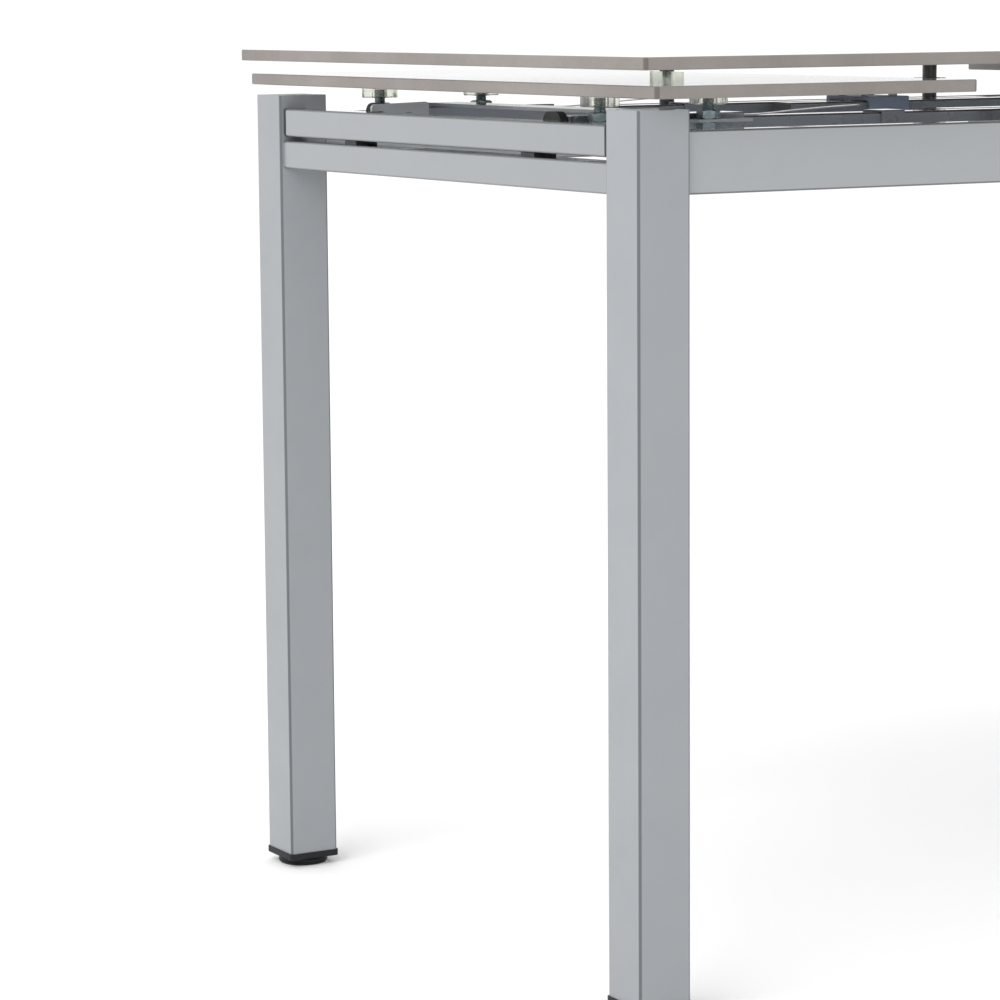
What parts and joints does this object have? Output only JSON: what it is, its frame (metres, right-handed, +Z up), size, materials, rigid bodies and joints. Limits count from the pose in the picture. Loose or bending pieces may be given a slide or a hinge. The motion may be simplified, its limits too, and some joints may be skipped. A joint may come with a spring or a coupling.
{
  "type": "extendable dining table",
  "caption": "Glass-topped dining table on square metal legs, with a stowed glass leaf at each end that slides out on a carriage and lifts level with the top.",
  "frame": {"origin": "on the floor under the middle of the closed table", "axes": "+X along the table's length, +Y across its width to the back, +Z up"},
  "size_m": [1.15, 0.7, 0.76],
  "materials": {
    "frame_paint": "satin silver-grey powder paint",
    "slide_paint": "satin grey paint on the slide tubes",
    "bracket_paint": "satin grey paint on folded sheet",
    "lacquered_glass": "greige lacquer behind glass, polished top, satin ground edge",
    "clear_acrylic": "clear, polished",
    "zinc": "bluish zinc plate",
    "black_plastic": "moulded, matt",
    "grey_plastic": "moulded, matt",
    "foot_plastic": "moulded, matt",
    "guide_plastic": "lavender-grey moulded nylon",
    "post_black": "black, satin"
  },
  "bodies": {
    "frame": {"leg_left_front": "frame_paint", "leg_left_back": "frame_paint", "leg_right_front": "frame_paint", "leg_right_back": "frame_paint", "leg_cap_plates": "frame_paint", "side_rail_front": "frame_paint", "side_rail_back": "frame_paint", "end_rail_left": "frame_paint", "end_rail_right": "frame_paint", "cross_member_1": "frame_paint", "cross_member_2": "frame_paint", "cross_member_3": "frame_paint", "cross_member_4": "frame_paint", "cross_member_5": "frame_paint", "foot_inserts": "foot_plastic", "glide_pads": "black_plastic", "slide_guides_middle": "guide_plastic", "slide_straps": "slide_paint", "posts_low": "post_black", "posts_tall": "post_black", "post_studs": "zinc", "top_pucks": "clear_acrylic", "post_collars": "clear_acrylic", "top_glass": "lacquered_glass"},
    "carriage_left": {"carriage_rail_left": "frame_paint", "carriage_rail_ends_left": "frame_paint", "slide_tube_left_front": "slide_paint", "slide_tube_left_back": "slide_paint", "slide_plugs_left": "grey_plastic", "slide_end_blocks_left": "black_plastic"},
    "bearer_left": {"saddle_left_front": "bracket_paint", "saddle_left_back": "bracket_paint", "saddle_tie_left": "bracket_paint"},
    "outer_levers_left": {"levers_outer_left": "bracket_paint"},
    "inner_levers_left": {"levers_inner_left": "bracket_paint"},
    "leaf_left": {"leaf_glass_left": "lacquered_glass", "leaf_pucks_left": "clear_acrylic", "leaf_studs_left": "zinc", "leaf_nuts_left": "zinc", "stud_brackets_left": "bracket_paint"},
    "carriage_right": {"carriage_rail_right": "frame_paint", "carriage_rail_ends_right": "frame_paint", "slide_tube_right_front": "slide_paint", "slide_tube_right_back": "slide_paint", "slide_plugs_right": "grey_plastic", "slide_end_blocks_right": "black_plastic"},
    "bearer_right": {"saddle_right_front": "bracket_paint", "saddle_right_back": "bracket_paint", "saddle_tie_right": "bracket_paint"},
    "outer_levers_right": {"levers_outer_right": "bracket_paint"},
    "inner_levers_right": {"levers_inner_right": "bracket_paint"},
    "leaf_right": {"leaf_glass_right": "lacquered_glass", "leaf_pucks_right": "clear_acrylic", "leaf_studs_right": "zinc", "leaf_nuts_right": "zinc", "stud_brackets_right": "bracket_paint"},
    "foot_left_front": {"foot_left_front": "foot_plastic"},
    "foot_left_back": {"foot_left_back": "foot_plastic"},
    "foot_right_front": {"foot_right_front": "foot_plastic"},
    "foot_right_back": {"foot_right_back": "foot_plastic"}
  },
  "joints": [
    {"name": "carriage_slide_left", "type": "slide", "parent": "frame", "child": "carriage_left", "axis": [-1, 0, 0], "range_m": [0, 0.3194]},
    {"name": "bearer_rise_left", "type": "slide", "parent": "carriage_left", "child": "bearer_left", "axis": [0, 0, 1], "range_m": [0, 0.0108]},
    {"name": "leaf_lift_left", "type": "hinge", "parent": "bearer_left", "child": "outer_levers_left", "pos_m": [-0.5, 0, 0.7], "axis": [0, 1, 0], "range_deg": [0, 24.5]},
    {"name": "inner_lever_turn_left", "type": "hinge", "parent": "bearer_left", "child": "inner_levers_left", "pos_m": [-0.396, 0, 0.7], "axis": [0, 1, 0], "range_deg": [0, 24.5]},
    {"name": "leaf_level_left", "type": "hinge", "parent": "outer_levers_left", "child": "leaf_left", "pos_m": [-0.527, 0, 0.7], "axis": [0, 1, 0], "range_deg": [-24.5, 0]},
    {"name": "carriage_slide_right", "type": "slide", "parent": "frame", "child": "carriage_right", "axis": [1, 0, 0], "range_m": [0, 0.3194]},
    {"name": "bearer_rise_right", "type": "slide", "parent": "carriage_right", "child": "bearer_right", "axis": [0, 0, 1], "range_m": [0, 0.0108]},
    {"name": "leaf_lift_right", "type": "hinge", "parent": "bearer_right", "child": "outer_levers_right", "pos_m": [0.5, 0, 0.7], "axis": [0, -1, 0], "range_deg": [0, 24.5]},
    {"name": "inner_lever_turn_right", "type": "hinge", "parent": "bearer_right", "child": "inner_levers_right", "pos_m": [0.396, 0, 0.7], "axis": [0, -1, 0], "range_deg": [0, 24.5]},
    {"name": "leaf_level_right", "type": "hinge", "parent": "outer_levers_right", "child": "leaf_right", "pos_m": [0.527, 0, 0.7], "axis": [0, -1, 0], "range_deg": [-24.5, 0]},
    {"name": "foot_screw_left_front", "type": "slide", "parent": "frame", "child": "foot_left_front", "axis": [0, 0, -1], "range_m": [0, 0.01]},
    {"name": "foot_screw_left_back", "type": "slide", "parent": "frame", "child": "foot_left_back", "axis": [0, 0, -1], "range_m": [0, 0.01]},
    {"name": "foot_screw_right_front", "type": "slide", "parent": "frame", "child": "foot_right_front", "axis": [0, 0, -1], "range_m": [0, 0.01]},
    {"name": "foot_screw_right_back", "type": "slide", "parent": "frame", "child": "foot_right_back", "axis": [0, 0, -1], "range_m": [0, 0.01]}
  ],
  "couplings": [
    {"joint": "bearer_rise_left", "follows": "carriage_slide_left", "ratio": 0.0338},
    {"joint": "inner_lever_turn_left", "follows": "leaf_lift_left", "ratio": 1},
    {"joint": "leaf_level_left", "follows": "leaf_lift_left", "ratio": -1},
    {"joint": "bearer_rise_right", "follows": "carriage_slide_right", "ratio": 0.0338},
    {"joint": "inner_lever_turn_right", "follows": "leaf_lift_right", "ratio": 1},
    {"joint": "leaf_level_right", "follows": "leaf_lift_right", "ratio": -1}
  ]
}
